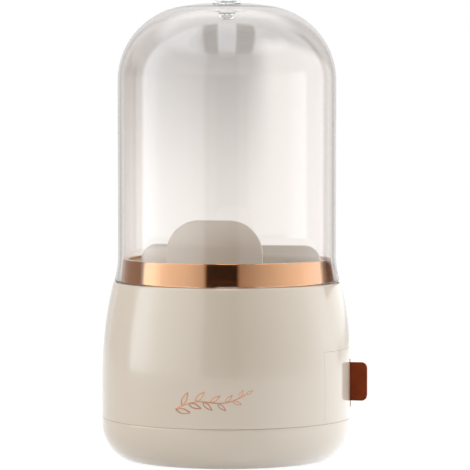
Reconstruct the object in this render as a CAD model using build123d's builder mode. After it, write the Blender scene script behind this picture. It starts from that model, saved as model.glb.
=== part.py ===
from build123d import *
from math import acos, asin, cos, degrees, radians, sin, sqrt
import os

os.makedirs("parts", exist_ok=True)

# A round storage box: a weighted foot, a body that turns on it with a side drawer,
# an organiser cup in the body's neck and a clear dome that lifts off.
# The origin is the middle of the rest face, +Z is up and the drawer opens along +X.

# Clearances
seam = 0.3  # turning gap between foot and body
play = 0.3  # between pieces that move past each other or drop into place
front_play = 0.2  # round the closed drawer front
running = 0.08  # radial, between the pivot pin and its hub
snug = 0.05  # radial, round screws and pressed pins

# Foot
body_r = 75.9  # widest radius, shared by foot and body
foot_h = 25.2
corner_r = 24.0  # round lower corner of the foot
corner_z = 21.4
foot_floor = 2.4
foot_edge = 0.8
pad_r = 56.0
pad_t = 1.8
pad_proud = 0.8

# Walls and body
wall = 2.4
body_h = 81.5  # from the seam to the shoulder
straight_h = 23.8  # upright part of the side
lean_r = 236.7  # the rest leans in along this radius
shoulder_edge = 1.4
ledge_w = 7.15  # from the side down to the neck, where the dome rests
neck_h = 12.5
neck_wall = 2.0
body_floor_t = 2.5

# Bearing
race_in_r = 31.0
race_out_r = 50.0
race_t = 3.0
race_gap = 2.0
race_screw_circle = 46.0
ball_r = 2.5
ball_circle = 38.0
ball_count = 16
ball_play = 0.25
cage_t = 1.2
cage_half_w = 4.5
spacer_h = 3.2  # ring under the body floor that carries the upper race
rib_t = 2.4

# Pivot
pivot_r = 4.0
hub_wall = 5.0
pivot_boss_h = 8.3
hub_gap = 0.5
well_r = 7.4  # recess over the pin for washer and screw
well_h = 4.4
washer_r = 6.8
washer_t = 1.0

# Screws
screw_r = 1.5
screw_head_r = 2.8
screw_sunk_h = 1.5
screw_pan_h = 2.0
pivot_screw_l = 10.0
race_screw_l = 9.0
floor_screw_l = 12.0
deck_screw_l = 11.0
front_screw_l = 8.0
slot_w = 0.8  # cross recess in each head
slot_depth = 0.7
post_wall = 2.7  # round the screws that enter the body
post_angle = 50.0  # from the drawer's direction, mirrored four ways
low_post_h = 14.0
post_inset = 0.3  # how far the low posts sink into the side wall

# Trim ring
ring_h = 14.0
ring_foot_w = 2.8  # the ring is wider at its foot than at its head
ring_head_w = 1.4
ring_edge = 0.5

# Deck and drawer bay
bay_h = 40.5
deck_t = 2.2
guide_t = 2.0
front_t = wall
front_half_w = 35.7
front_gap = 0.6  # from the drawer front's top to the deck
tray_half_w = 34.4
front_depth = 12.0  # from the drawer front's inner face to the tray
back_depth = 20.0  # from the side wall to the tray's back
tray_h = 38.0
tray_wall = 1.8
tray_corner = 4.0
travel = 85.0
stop_t = 2.2
stop_half_w = 12.0
stop_lug_h = 1.7
front_post_r = 3.5
front_post_y = 22.0
front_post_z = 12.0  # above and below the drawer front's middle

# Leather pull
tab_t = 2.4
tab_h = 23.2
tab_z = 47.6  # middle of the tab
tab_out = 10.2  # how far it stands out of the side
tab_corner = 3.3
tab_slot_h = 29.0
tab_slot_z = 46.6
pin_r = 1.2
pin_in = 4.1  # from the drawer front's inner face to the pin's axis
pin_end = 3.0  # length of the pin in each lug
lug_half_w = 3.2

# Organiser
cup_gap = 0.6  # finger room between the cup and the neck
cup_wall = 1.8
cup_floor = 2.0
cup_h = 47.5
cup_edge = 0.6
panel_t = 2.0
cell_depth = 21.2  # from the cup's front wall to the middle of the front panel
front_wing_h = 39.0
arch_h = 72.7
arch_corner = 20.0
rear_panel_h = 56.0
rear_corner = 10.0
cross_panel_y = 9.0
cell_h = 30.0
side_cell_w = 15.45  # from the cup's wall to an outer cell panel, along the front panel
keeper_t = 1.2  # upright ribs that hold the panels' ends
keeper_w = 3.0
keeper_h = 34.0

# Dome
rim_inset = 0.35  # from the shoulder's edge to the dome's rim
flare_w = 2.4
dome_wall = 2.2
flare_h = 16.4
flare_knee_h = 5.6
flare_knee = 1.0  # how much of the flare is left at the knee
dome_side_h = 120.8  # from the rim to where the top begins to turn in
dome_turn_r = 45.4
crown_r = 160.0
dimple_r = 14.0
dimple_depth = 2.0
dimple_flat_r = 5.0
dome_boss_r = 4.8
dome_boss_h = 5.5

# Knob
knob_r = 8.7
knob_sides = 16
knob_t = 4.8
knob_chamfer = 1.3
knob_stem_r = 3.4
knob_stem_h = 1.8
spigot_r = 2.2
spigot_l = 5.0

# Heights that follow
pan_z = pad_proud
pan_top = pan_z + foot_floor
body_z = foot_h + seam
lean_z = body_z + straight_h
shoulder_z = body_z + body_h
neck_top = shoulder_z + neck_h
floor_top = body_z + body_floor_t
upper_race_z = body_z - spacer_h - race_t
lower_race_top = upper_race_z - race_gap
lower_race_z = lower_race_top - race_t
ball_z = lower_race_top + race_gap / 2
hub_z = pan_top + pivot_boss_h + hub_gap
well_z = floor_top - well_h
pin_top = well_z + play
deck_z = floor_top + bay_h
deck_top = deck_z + deck_t
front_z = body_z
front_top = deck_z - front_gap
tray_z = floor_top + play
tray_top = tray_z + tray_h
cup_z = deck_top
cup_floor_top = cup_z + cup_floor
dome_z = shoulder_z + play


def side_r(z, inset=0.0):
    """Radius of the body's side at a height, moved in by inset."""
    if z <= lean_z:
        return body_r - inset
    lean = lean_r - inset
    return body_r - lean_r + sqrt(lean**2 - (z - lean_z) ** 2)


# Plan sizes that follow
neck_r = side_r(shoulder_z) - ledge_w
ring_foot_r = neck_r + ring_foot_w
ring_head_r = neck_r + ring_head_w
dome_rim_r = side_r(shoulder_z) - rim_inset
dome_r = dome_rim_r - flare_w
cup_r = neck_r - neck_wall - cup_gap
tray_front_x = body_r - front_t - front_depth
tray_back_x = wall + back_depth - body_r
hub_r = pivot_r + hub_wall
post_r = screw_r + post_wall
low_post_circle = body_r - wall + post_inset - post_r
high_post_circle = neck_r - neck_wall + post_r + play
opening_half_w = front_half_w + front_play
guide_in_y = tray_half_w + play
tray_l = tray_front_x - tray_back_x
tray_mid_x = (tray_front_x + tray_back_x) / 2
pin_x = body_r - front_t - pin_in
cup_in_r = cup_r - cup_wall
front_panel_y = cell_depth - cup_in_r
cell_pitch = sqrt(cup_in_r**2 - front_panel_y**2) - side_cell_w


def body_outline(inset, bottom, top):
    """Half section of the body from its axis to its side moved in by inset."""
    lean = lean_r - inset
    turn = degrees(asin((top - lean_z) / lean))
    with BuildSketch(Plane.XZ) as section:
        with BuildLine():
            Polyline((0, top), (0, bottom), (body_r - inset, bottom), (body_r - inset, lean_z))
            side = CenterArc((body_r - lean_r, lean_z), lean, 0, turn)
            Line(side @ 1, (0, top))
        make_face()
    return section.sketch


def foot_outline(inset, bottom, top):
    """Half section of the foot, with its round lower corner cut off by the bottom."""
    corner = corner_r - inset
    turn = degrees(asin((corner_z - bottom) / corner))
    with BuildSketch(Plane.XZ) as section:
        with BuildLine():
            edge = CenterArc((body_r - corner_r, corner_z), corner, -turn, turn)
            Polyline(edge @ 1, (body_r - inset, top), (0, top), (0, bottom), edge @ 0)
        make_face()
    return section.sketch


def dome_outline(inset):
    """Half section of the dome down to its rim, with the dimple or the boss at the top."""
    turn_r = dome_turn_r - inset
    top_r = crown_r - inset
    turn_x = dome_r - dome_turn_r
    turn_z = dome_z + dome_side_h
    lean_in = degrees(acos(turn_x / (crown_r - dome_turn_r)))
    crown_z = turn_z - (crown_r - dome_turn_r) * sin(radians(lean_in))
    crown_end = degrees(acos(dimple_r / crown_r))
    seat_z = crown_z + crown_r - dimple_depth
    with BuildSketch(Plane.XZ) as section:
        with BuildLine():
            flare = Spline(
                (dome_rim_r - inset, dome_z),
                (dome_r + flare_knee - inset, dome_z + flare_knee_h),
                (dome_r - inset, dome_z + flare_h),
                tangents=[(0, 1), (0, 1)],
            )
            side = Line(flare @ 1, (dome_r - inset, turn_z))
            turn = CenterArc((turn_x, turn_z), turn_r, 0, lean_in)
            crown = CenterArc((0, crown_z), top_r, lean_in, crown_end - lean_in)
            if inset == 0:
                dip = Spline(crown @ 1, (dimple_flat_r, seat_z), tangents=[crown % 1, (-1, 0)])
                Polyline(dip @ 1, (0, seat_z), (0, dome_z), flare @ 0)
            else:
                boss_end = (dome_boss_r, seat_z - inset - dome_boss_h)
                dip = Spline(crown @ 1, boss_end, tangents=[crown % 1, (-0.15, -1)])
                Polyline(dip @ 1, (0, boss_end[1]), (0, dome_z), flare @ 0)
        make_face()
    return section.sketch


def dome_seat_z():
    """Height of the flat in the dimple, where the knob sits."""
    rise = sqrt((crown_r - dome_turn_r) ** 2 - (dome_r - dome_turn_r) ** 2)
    return dome_z + dome_side_h - rise + crown_r - dimple_depth


def make_screw(length, head_h, sunk):
    """One screw along -Z with its head's top at the origin, or its bearing face if not sunk."""
    with BuildPart() as screw:
        if sunk:
            with Locations((0, 0, -head_h / 2)):
                Cone(screw_r, screw_head_r, head_h)
            head_top = 0
        else:
            with Locations((0, 0, head_h / 2)):
                Cylinder(screw_head_r, head_h)
            head_top = head_h
        with Locations((0, 0, -length / 2)):
            Cylinder(screw_r, length)
        with Locations((0, 0, head_top)):
            Box(screw_head_r, slot_w, 2 * slot_depth, mode=Mode.SUBTRACT)
            Box(slot_w, screw_head_r, 2 * slot_depth, mode=Mode.SUBTRACT)
    return screw.part


def post_places(circle, z, flip=False):
    """The four places of the body's screws on a circle, at one height."""
    angles = [post_angle, 180 - post_angle, 180 + post_angle, 360 - post_angle]
    turn = (180, 0, 0) if flip else (0, 0, 0)
    return [
        Location((circle * cos(radians(a)), circle * sin(radians(a)), z), turn) for a in angles
    ]


def race_places(z, flip=False):
    """The four places of the race screws."""
    turn = (180, 0, 0) if flip else (0, 0, 0)
    return [
        Location((race_screw_circle * cos(radians(a)), race_screw_circle * sin(radians(a)), z), turn)
        for a in (45, 135, 225, 315)
    ]


def finish(part, name):
    """Labels a finished piece and writes it."""
    part.label = name
    export_step(part, f"parts/{name}.step")


# Foot pan: open dish with a boss for the pivot pin, ribs and bosses for the lower race
with BuildPart() as foot_pan:
    revolve(foot_outline(0, pan_z, foot_h), axis=Axis.Z)
    fillet(foot_pan.edges().group_by(Axis.Z)[0], foot_edge)
    revolve(foot_outline(wall, pan_top, foot_h + wall), axis=Axis.Z, mode=Mode.SUBTRACT)
    with BuildSketch(Plane.XY.offset(pan_z)):
        Circle(pad_r + play)
    extrude(amount=pad_t - pad_proud, mode=Mode.SUBTRACT)
    with BuildSketch(Plane.XY.offset(pan_top)):
        Circle(hub_r)
    extrude(amount=pivot_boss_h)
    with BuildSketch(Plane.XY.offset(pan_top)):
        Circle(ball_circle + rib_t / 2)
        Circle(ball_circle - rib_t / 2, mode=Mode.SUBTRACT)
        with Locations(race_places(0)):
            Circle(post_r)
    extrude(amount=lower_race_z - pan_top)
    with BuildSketch(Plane.XY.offset(pan_top)):
        Circle(pivot_r + snug)
    extrude(amount=pivot_boss_h, mode=Mode.SUBTRACT)
    with Locations(race_places(lower_race_z)):
        Hole(screw_r + snug, depth=race_screw_l)
finish(foot_pan.part, "foot_pan")

# Anti-slip pad: soft disc in the pan's recess, and the face that the box rests on
with BuildPart() as anti_slip_pad:
    with BuildSketch():
        Circle(pad_r)
    extrude(amount=pad_t)
    fillet(anti_slip_pad.edges().group_by(Axis.Z)[0], pad_proud / 2)
finish(anti_slip_pad.part, "anti_slip_pad")

# Lower race: ring with a ball groove, screwed to the pan
with BuildPart() as lower_race:
    with BuildSketch(Plane.XY.offset(lower_race_z)):
        Circle(race_out_r)
        Circle(race_in_r, mode=Mode.SUBTRACT)
    extrude(amount=race_t)
    with Locations((0, 0, ball_z)):
        Torus(ball_circle, ball_r + ball_play, mode=Mode.SUBTRACT)
    with Locations(race_places(lower_race_top)):
        CounterSinkHole(screw_r + snug, screw_head_r + snug)
finish(lower_race.part, "lower_race")

race_screw = make_screw(race_screw_l, screw_sunk_h, True)
with BuildPart() as lower_race_screws:
    with Locations(race_places(lower_race_top)):
        add(race_screw)
finish(lower_race_screws.part, "lower_race_screws")

# Pivot pin: pressed into the pan's boss, with a bore for the retaining screw
with BuildPart() as pivot_pin:
    with BuildSketch(Plane.XY.offset(pan_top)):
        Circle(pivot_r)
    extrude(amount=pin_top - pan_top)
    chamfer(pivot_pin.edges().group_by(Axis.Z)[-1], 0.4)
    with Locations((0, 0, pin_top)):
        Hole(screw_r + snug, depth=pivot_screw_l + 1)
finish(pivot_pin.part, "pivot_pin")

with BuildPart() as retaining_washer:
    with BuildSketch(Plane.XY.offset(pin_top)):
        Circle(washer_r)
        Circle(screw_r + snug, mode=Mode.SUBTRACT)
    extrude(amount=washer_t)
finish(retaining_washer.part, "retaining_washer")

pivot_screw = make_screw(pivot_screw_l, screw_pan_h, False)
with BuildPart() as retaining_screw:
    with Locations((0, 0, pin_top + washer_t)):
        add(pivot_screw)
finish(retaining_screw.part, "retaining_screw")

# Balls and the cage that spaces them
with BuildPart() as ball_cage:
    with BuildSketch(Plane.XY.offset(ball_z - cage_t / 2)):
        Circle(ball_circle + cage_half_w)
        Circle(ball_circle - cage_half_w, mode=Mode.SUBTRACT)
        with PolarLocations(ball_circle, ball_count):
            Circle(ball_r + ball_play, mode=Mode.SUBTRACT)
    extrude(amount=cage_t)
finish(ball_cage.part, "ball_cage")

with BuildPart() as bearing_balls:
    with Locations((0, 0, ball_z)):
        with PolarLocations(ball_circle, ball_count):
            Sphere(ball_r)
finish(bearing_balls.part, "bearing_balls")

# Upper race: the lower one turned over, screwed up into the body floor
with BuildPart() as upper_race:
    with BuildSketch(Plane.XY.offset(upper_race_z)):
        Circle(race_out_r)
        Circle(race_in_r, mode=Mode.SUBTRACT)
    extrude(amount=race_t)
    with Locations((0, 0, ball_z)):
        Torus(ball_circle, ball_r + ball_play, mode=Mode.SUBTRACT)
    with Locations(race_places(upper_race_z, flip=True)):
        CounterSinkHole(screw_r + snug, screw_head_r + snug)
finish(upper_race.part, "upper_race")

upper_screw_l = race_t + spacer_h + body_floor_t / 2
upper_screw = make_screw(upper_screw_l, screw_sunk_h, True)
with BuildPart() as upper_race_screws:
    with Locations(race_places(upper_race_z, flip=True)):
        add(upper_screw)
finish(upper_race_screws.part, "upper_race_screws")

# Body floor: disc inside the shell's lower edge, with the hub and the upper race's seat
with BuildPart() as body_floor:
    with BuildSketch(Plane.XY.offset(body_z)):
        Circle(body_r - wall - play)
    extrude(amount=body_floor_t)
    with BuildSketch(Plane.XY.offset(body_z - spacer_h)):
        Circle(race_out_r)
        Circle(race_in_r, mode=Mode.SUBTRACT)
    extrude(amount=spacer_h)
    with BuildSketch(Plane.XY.offset(hub_z)):
        Circle(hub_r)
    extrude(amount=body_z - hub_z)
    with BuildSketch(Plane.XY.offset(hub_z)):
        Circle(pivot_r + running)
    extrude(amount=floor_top - hub_z, mode=Mode.SUBTRACT)
    with BuildSketch(Plane.XY.offset(well_z)):
        Circle(well_r)
    extrude(amount=well_h, mode=Mode.SUBTRACT)
    with Locations(race_places(body_z - spacer_h, flip=True)):
        Hole(screw_r + snug, depth=upper_screw_l - race_t)
    with Locations(post_places(low_post_circle, body_z, flip=True)):
        CounterSinkHole(screw_r + snug, screw_head_r + snug)
finish(body_floor.part, "body_floor")

floor_screw = make_screw(floor_screw_l, screw_sunk_h, True)
with BuildPart() as floor_screws:
    with Locations(post_places(low_post_circle, body_z, flip=True)):
        add(floor_screw)
finish(floor_screws.part, "floor_screws")

# Body shell: side, shoulder and neck, open below and at the drawer, with screw posts inside
with BuildPart() as body_shell:
    revolve(body_outline(0, body_z, shoulder_z), axis=Axis.Z)
    fillet(body_shell.edges().group_by(Axis.Z)[-1], shoulder_edge)
    with BuildSketch(Plane.XY.offset(shoulder_z)):
        Circle(neck_r)
    extrude(amount=neck_h)
    revolve(body_outline(wall, body_z, shoulder_z - wall), axis=Axis.Z, mode=Mode.SUBTRACT)
    with BuildSketch(Plane.XY.offset(shoulder_z - wall)):
        Circle(neck_r - neck_wall)
    extrude(amount=wall + neck_h, mode=Mode.SUBTRACT)
    with BuildSketch(Plane.XY.offset(body_z)):
        with Locations((body_r, 0)):
            Rectangle(body_r, 2 * opening_half_w)
    extrude(amount=front_top + front_play - body_z, mode=Mode.SUBTRACT)
    with BuildSketch(Plane.XY.offset(floor_top)):
        with Locations(post_places(low_post_circle, 0)):
            Circle(post_r)
    extrude(amount=low_post_h)
    with BuildSketch(Plane.XY.offset(deck_top)):
        with Locations(post_places(high_post_circle, 0)):
            Circle(post_r)
    extrude(amount=shoulder_z - wall / 2 - deck_top)
    with Locations(post_places(low_post_circle, floor_top, flip=True)):
        Hole(screw_r + snug, depth=floor_screw_l - body_floor_t)
    with Locations(post_places(high_post_circle, deck_top, flip=True)):
        Hole(screw_r + snug, depth=deck_screw_l - deck_t)
finish(body_shell.part, "body_shell")

# Trim ring: cone round the neck, with a lip over its top
with BuildPart() as trim_ring:
    with BuildSketch(Plane.XZ):
        with BuildLine():
            Polyline(
                (neck_r + snug, shoulder_z),
                (ring_foot_r, shoulder_z),
                (ring_head_r, shoulder_z + ring_h),
                (neck_r - neck_wall, shoulder_z + ring_h),
                (neck_r - neck_wall, neck_top),
                (neck_r + snug, neck_top),
                close=True,
            )
        make_face()
    revolve(axis=Axis.Z)
    fillet(trim_ring.edges().group_by(Axis.Z)[-1], ring_edge)
finish(trim_ring.part, "trim_ring")

# Deck frame: deck over the drawer with its two side guides, a back stop and a travel stop
tray_lug_x = tray_back_x + stop_t
travel_stop_x = tray_lug_x + travel + play
guide_end_x = sqrt((side_r(deck_top, wall) - play) ** 2 - (guide_in_y + guide_t) ** 2)
with BuildPart() as deck_frame:
    with BuildSketch(Plane.XY.offset(deck_z)):
        Circle(side_r(deck_top, wall) - play)
    extrude(amount=deck_t)
    with BuildSketch(Plane.XY.offset(floor_top)):
        for side in (-1, 1):
            with Locations(((guide_end_x + tray_back_x) / 2, side * (guide_in_y + guide_t / 2))):
                Rectangle(guide_end_x - tray_back_x, guide_t)
        with Locations((tray_back_x - play - guide_t / 2, 0)):
            Rectangle(guide_t, 2 * (guide_in_y + guide_t))
    extrude(amount=bay_h)
    with BuildSketch(Plane.XY.offset(tray_top + play)):
        with Locations((travel_stop_x + stop_t / 2, 0)):
            Rectangle(stop_t, 2 * stop_half_w)
    extrude(amount=deck_z - tray_top - play)
    with Locations(post_places(high_post_circle, deck_z, flip=True)):
        CounterSinkHole(screw_r + snug, screw_head_r + snug)
finish(deck_frame.part, "deck_frame")

deck_screw = make_screw(deck_screw_l, screw_sunk_h, True)
with BuildPart() as deck_screws:
    with Locations(post_places(high_post_circle, deck_z, flip=True)):
        add(deck_screw)
finish(deck_screws.part, "deck_screws")

# Drawer tray: open box with a stop lug on its back wall and screw holes in its front wall
front_mid_z = (front_z + front_top) / 2
front_posts = [
    (side * front_post_y, front_mid_z + up * front_post_z) for side in (-1, 1) for up in (-1, 1)
]
with BuildPart() as drawer_tray:
    with BuildSketch(Plane.XY.offset(tray_z)):
        with Locations((tray_mid_x, 0)):
            Rectangle(tray_l, 2 * tray_half_w)
    extrude(amount=tray_h)
    fillet(drawer_tray.edges().filter_by(Axis.Z).group_by(Axis.X)[0], tray_corner)
    with BuildSketch(Plane.XY.offset(tray_z + tray_wall)) as tray_inside:
        with Locations((tray_mid_x, 0)):
            Rectangle(tray_l - 2 * tray_wall, 2 * (tray_half_w - tray_wall))
        fillet(tray_inside.vertices().group_by(Axis.X)[0], tray_corner - tray_wall)
    extrude(amount=tray_h, mode=Mode.SUBTRACT)
    with BuildSketch(Plane.XY.offset(tray_top - tray_h / 2)):
        with Locations((tray_back_x + stop_t / 2, 0)):
            Rectangle(stop_t, 2 * stop_half_w)
    extrude(amount=tray_h / 2 + stop_lug_h)
    with BuildSketch(Plane.YZ.offset(tray_front_x - tray_wall)):
        with Locations(front_posts):
            Circle(screw_r + snug)
    extrude(amount=tray_wall, mode=Mode.SUBTRACT)
finish(drawer_tray.part, "drawer_tray")

# Drawer front: a piece of the body's side with a slot for the pull, posts and pin lugs
tab_slot_w = tab_t + 2 * play
with BuildPart() as front_plate:
    revolve(body_outline(0, body_z, shoulder_z), axis=Axis.Z)
    revolve(body_outline(front_t, body_z, shoulder_z), axis=Axis.Z, mode=Mode.SUBTRACT)
    with Locations((body_r, 0, front_mid_z)):
        Box(body_r, 2 * front_half_w, front_top - front_z, mode=Mode.INTERSECT)
    with Locations((body_r, 0, tab_slot_z)):
        Box(body_r, tab_slot_w, tab_slot_h, mode=Mode.SUBTRACT)

lug_back_x = pin_x - pin_r - front_t / 2
with BuildPart() as drawer_front:
    with BuildSketch(Plane.YZ.offset(tray_front_x)):
        with Locations(front_posts):
            Circle(front_post_r)
    extrude(amount=body_r - tray_front_x)
    for end in (-1, 1):
        lug_z = tab_slot_z + end * (tab_slot_h + pin_end) / 2
        with Locations(((lug_back_x + body_r) / 2, 0, lug_z)):
            Box(body_r - lug_back_x, 2 * lug_half_w, pin_end)
    revolve(body_outline(front_t / 2, body_z, shoulder_z), axis=Axis.Z, mode=Mode.INTERSECT)
    add(front_plate.part)
    with Locations((pin_x, 0, tab_slot_z)):
        Cylinder(pin_r + snug, tab_slot_h + 2 * pin_end, mode=Mode.SUBTRACT)
    with BuildSketch(Plane.YZ.offset(tray_front_x)):
        with Locations(front_posts):
            Circle(screw_r + snug)
    extrude(amount=front_screw_l - tray_wall, mode=Mode.SUBTRACT)
finish(drawer_front.part, "drawer_front")

front_screw = make_screw(front_screw_l, screw_pan_h, False)
with BuildPart() as front_screws:
    for y, z in front_posts:
        with Locations(Location((tray_front_x - tray_wall, y, z), (0, -90, 0))):
            add(front_screw)
finish(front_screws.part, "front_screws")

# Leather pull: a strap folded round the pin, its two layers joined outside the slot
loop_r = tab_t / 2 + pin_r
with BuildPart() as pull_tab:
    with BuildSketch(Plane.XZ.offset(-tab_t / 2)) as tab_face:
        with Locations(((pin_x + body_r + tab_out) / 2, tab_z)):
            Rectangle(body_r + tab_out - pin_x, tab_h)
        fillet(tab_face.vertices().group_by(Axis.X)[-1], tab_corner)
    extrude(amount=tab_t)
    with Locations((pin_x, 0, tab_z)):
        Cylinder(loop_r, tab_h)
        Cylinder(pin_r + snug, tab_h, mode=Mode.SUBTRACT)
finish(pull_tab.part, "pull_tab")

with BuildPart() as tab_pin:
    with Locations((pin_x, 0, tab_slot_z)):
        Cylinder(pin_r, tab_slot_h + 2 * pin_end)
finish(tab_pin.part, "tab_pin")


def panel_ends(plane, run, sides):
    """Places of the paired ribs that hold the ends of a panel in the cup."""
    places = []
    for side in sides:
        for offset in (-1, 1):
            across = plane + offset * (panel_t + keeper_t + play) / 2
            along = side * (sqrt(cup_in_r**2 - across**2) - keeper_w / 2 + cup_wall / 2)
            places.append((along, across) if run == "x" else (across, along))
    return places


# Organiser cup: round cup in the neck, with upright ribs that hold the panels
with BuildPart() as organiser_cup:
    with BuildSketch(Plane.XY.offset(cup_z)):
        Circle(cup_r)
    extrude(amount=cup_h)
    with BuildSketch(Plane.XY.offset(cup_floor_top)):
        Circle(cup_in_r)
    extrude(amount=cup_h, mode=Mode.SUBTRACT)
    fillet(organiser_cup.edges().group_by(Axis.Z)[-1], cup_edge)
    with BuildSketch(Plane.XY.offset(cup_floor_top)):
        for plane in (front_panel_y, cross_panel_y):
            with Locations(panel_ends(plane, "x", (-1, 1))):
                Rectangle(keeper_w + cup_wall, keeper_t)
        with Locations(panel_ends(0, "y", (1,))):
            Rectangle(keeper_t, keeper_w + cup_wall)
    extrude(amount=keeper_h)
finish(organiser_cup.part, "organiser_cup")


def cup_inside(height):
    """Trims a panel's ends to the cup's round wall."""
    with Locations((0, 0, cup_floor_top + height / 2)):
        Cylinder(cup_in_r - play, height, mode=Mode.INTERSECT)


# Front panel: a tall arched back for the front cells, with lower wings to the cup's wall
with BuildPart() as front_panel:
    with BuildSketch(Plane.XZ.offset(-front_panel_y - panel_t / 2)) as panel_face:
        with Locations((0, cup_floor_top + arch_h / 2)):
            Rectangle(2 * cell_pitch, arch_h)
        fillet(panel_face.vertices().group_by(Axis.Y)[-1], arch_corner)
        with Locations((0, cup_floor_top + front_wing_h / 2)):
            Rectangle(2 * cup_r, front_wing_h)
    extrude(amount=panel_t)
    cup_inside(arch_h)
finish(front_panel.part, "front_panel")

# Cell panels: three short panels between the front panel and the cup's front wall
with BuildPart() as cell_panels:
    with BuildSketch(Plane.XY.offset(cup_floor_top)):
        cell_back_y = front_panel_y - panel_t / 2 - play
        for x in (-cell_pitch, 0, cell_pitch):
            with Locations((x, cell_back_y - cup_r / 2)):
                Rectangle(panel_t, cup_r)
    extrude(amount=cell_h)
    cup_inside(cell_h)
finish(cell_panels.part, "cell_panels")

# Rear panels: one along the middle and one across it, halved where they cross
half_slot = panel_t + 2 * play
with BuildPart() as middle_panel:
    middle_front_y = front_panel_y + panel_t / 2 + play
    with BuildSketch(Plane.YZ.offset(-panel_t / 2)):
        with BuildLine():
            Polyline(
                (middle_front_y, cup_floor_top),
                (cup_in_r - play, cup_floor_top),
                (cup_in_r - play, cup_floor_top + rear_panel_h),
                (middle_front_y, cup_floor_top + rear_panel_h),
                close=True,
            )
        make_face()
    extrude(amount=panel_t)
    fillet(middle_panel.edges().filter_by(Axis.X).group_by(Axis.Z)[-1].sort_by(Axis.Y)[-1], rear_corner)
    with Locations((0, cross_panel_y, cup_floor_top + rear_panel_h * 0.75)):
        Box(panel_t, half_slot, rear_panel_h / 2 + 2 * play, mode=Mode.SUBTRACT)
finish(middle_panel.part, "middle_panel")

with BuildPart() as cross_panel:
    cross_half_w = sqrt((cup_in_r - play) ** 2 - (cross_panel_y + panel_t / 2) ** 2)
    with BuildSketch(Plane.XZ.offset(-cross_panel_y - panel_t / 2)) as cross_face:
        with Locations((0, cup_floor_top + rear_panel_h / 2)):
            Rectangle(2 * cross_half_w, rear_panel_h)
        fillet(cross_face.vertices().group_by(Axis.Y)[-1], rear_corner)
    extrude(amount=panel_t)
    cup_inside(rear_panel_h)
    with Locations((0, cross_panel_y, cup_floor_top + rear_panel_h * 0.25)):
        Box(half_slot, panel_t, rear_panel_h / 2, mode=Mode.SUBTRACT)
finish(cross_panel.part, "cross_panel")

# Dome cover: clear shell with a flared rim, a dimple for the knob and a boss below it
with BuildPart() as dome_cover:
    revolve(dome_outline(0), axis=Axis.Z)
    revolve(dome_outline(dome_wall), axis=Axis.Z, mode=Mode.SUBTRACT)
    with Locations((0, 0, dome_seat_z())):
        Hole(spigot_r + snug, depth=spigot_l + play)
finish(dome_cover.part, "dome_cover")

# Dome knob: low faceted disc on a short stem, with a spigot glued into the dome's boss
knob_z = dome_seat_z() + knob_stem_h
with BuildPart() as dome_knob:
    with BuildSketch(Plane.XY.offset(knob_z)):
        RegularPolygon(knob_r, knob_sides)
    extrude(amount=knob_t)
    chamfer(dome_knob.edges().group_by(Axis.Z)[-1], knob_chamfer)
    chamfer(dome_knob.edges().group_by(Axis.Z)[0], knob_chamfer)
    with BuildSketch(Plane.XY.offset(dome_seat_z())):
        Circle(knob_stem_r)
    extrude(amount=knob_stem_h)
    with BuildSketch(Plane.XY.offset(dome_seat_z())):
        Circle(spigot_r)
    extrude(amount=-spigot_l)
finish(dome_knob.part, "dome_knob")
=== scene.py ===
import bmesh
import bpy
from math import acos, asin, ceil, cos, degrees, hypot, pi, radians, sin, sqrt, tan
from mathutils import Matrix, Vector


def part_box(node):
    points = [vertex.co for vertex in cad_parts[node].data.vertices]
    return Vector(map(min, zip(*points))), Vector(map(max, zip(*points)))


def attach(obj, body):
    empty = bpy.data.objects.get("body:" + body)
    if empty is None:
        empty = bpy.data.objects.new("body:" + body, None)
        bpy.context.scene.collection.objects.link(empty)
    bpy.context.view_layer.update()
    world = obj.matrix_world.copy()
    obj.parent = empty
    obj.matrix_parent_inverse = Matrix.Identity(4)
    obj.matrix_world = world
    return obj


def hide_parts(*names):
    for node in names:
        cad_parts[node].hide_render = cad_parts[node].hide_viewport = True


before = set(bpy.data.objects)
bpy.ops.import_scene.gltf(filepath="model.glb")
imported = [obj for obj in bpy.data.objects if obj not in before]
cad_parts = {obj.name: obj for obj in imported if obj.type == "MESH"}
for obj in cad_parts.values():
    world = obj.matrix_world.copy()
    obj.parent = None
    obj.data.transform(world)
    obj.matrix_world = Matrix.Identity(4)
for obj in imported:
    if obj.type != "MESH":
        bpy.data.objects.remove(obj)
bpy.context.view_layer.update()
mm = 0.001  # every size below is in millimetres, and meshes are made in metres
square = ((-1, -1), (1, -1), (1, 1), (-1, 1))


def nodeBox(name):  # a CAD node's lowest and highest corner in millimetres
    low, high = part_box(name)
    return low / mm, high / mm


# Node trees

building = {"tree": None}  # the tree that new nodes go into


class Wire:  # one output of a node; a sign between wires adds a Math node
    def __init__(self, socket):
        self.socket = socket

    def __getitem__(self, name):  # another output of the same node
        return Wire(self.socket.node.outputs[name])

    def __add__(self, other):
        return step("ADD", self, other)

    def __mul__(self, other):
        return step("MULTIPLY", self, other)

    __radd__, __rmul__ = __add__, __mul__

    def __sub__(self, other):
        return step("SUBTRACT", self, other)

    def __rsub__(self, other):
        return step("SUBTRACT", other, self)

    def __truediv__(self, other):
        return step("DIVIDE", self, other)


def add(kind, sockets=None, output=0, **settings):  # a node with its sockets filled or linked
    made = building["tree"].nodes.new(kind)
    for name, value in settings.items():
        setattr(made, name, value)
    for name, value in (sockets or {}).items():
        socket = made.inputs[name]
        if isinstance(value, Wire):
            building["tree"].links.new(value.socket, socket)
        else:
            socket.default_value = (*value, 1) if socket.type == "RGBA" else value
    return Wire(made.outputs[output]) if made.outputs else None


def geo(kind, sockets=None, **settings):
    return add("GeometryNode" + kind, sockets, **settings)


def shader(kind, sockets=None, output=0, **settings):
    return add("ShaderNode" + kind, sockets, output, **settings)


def step(operation, first, second=0):
    return shader("Math", {0: first, 1: second}, operation=operation)


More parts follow.
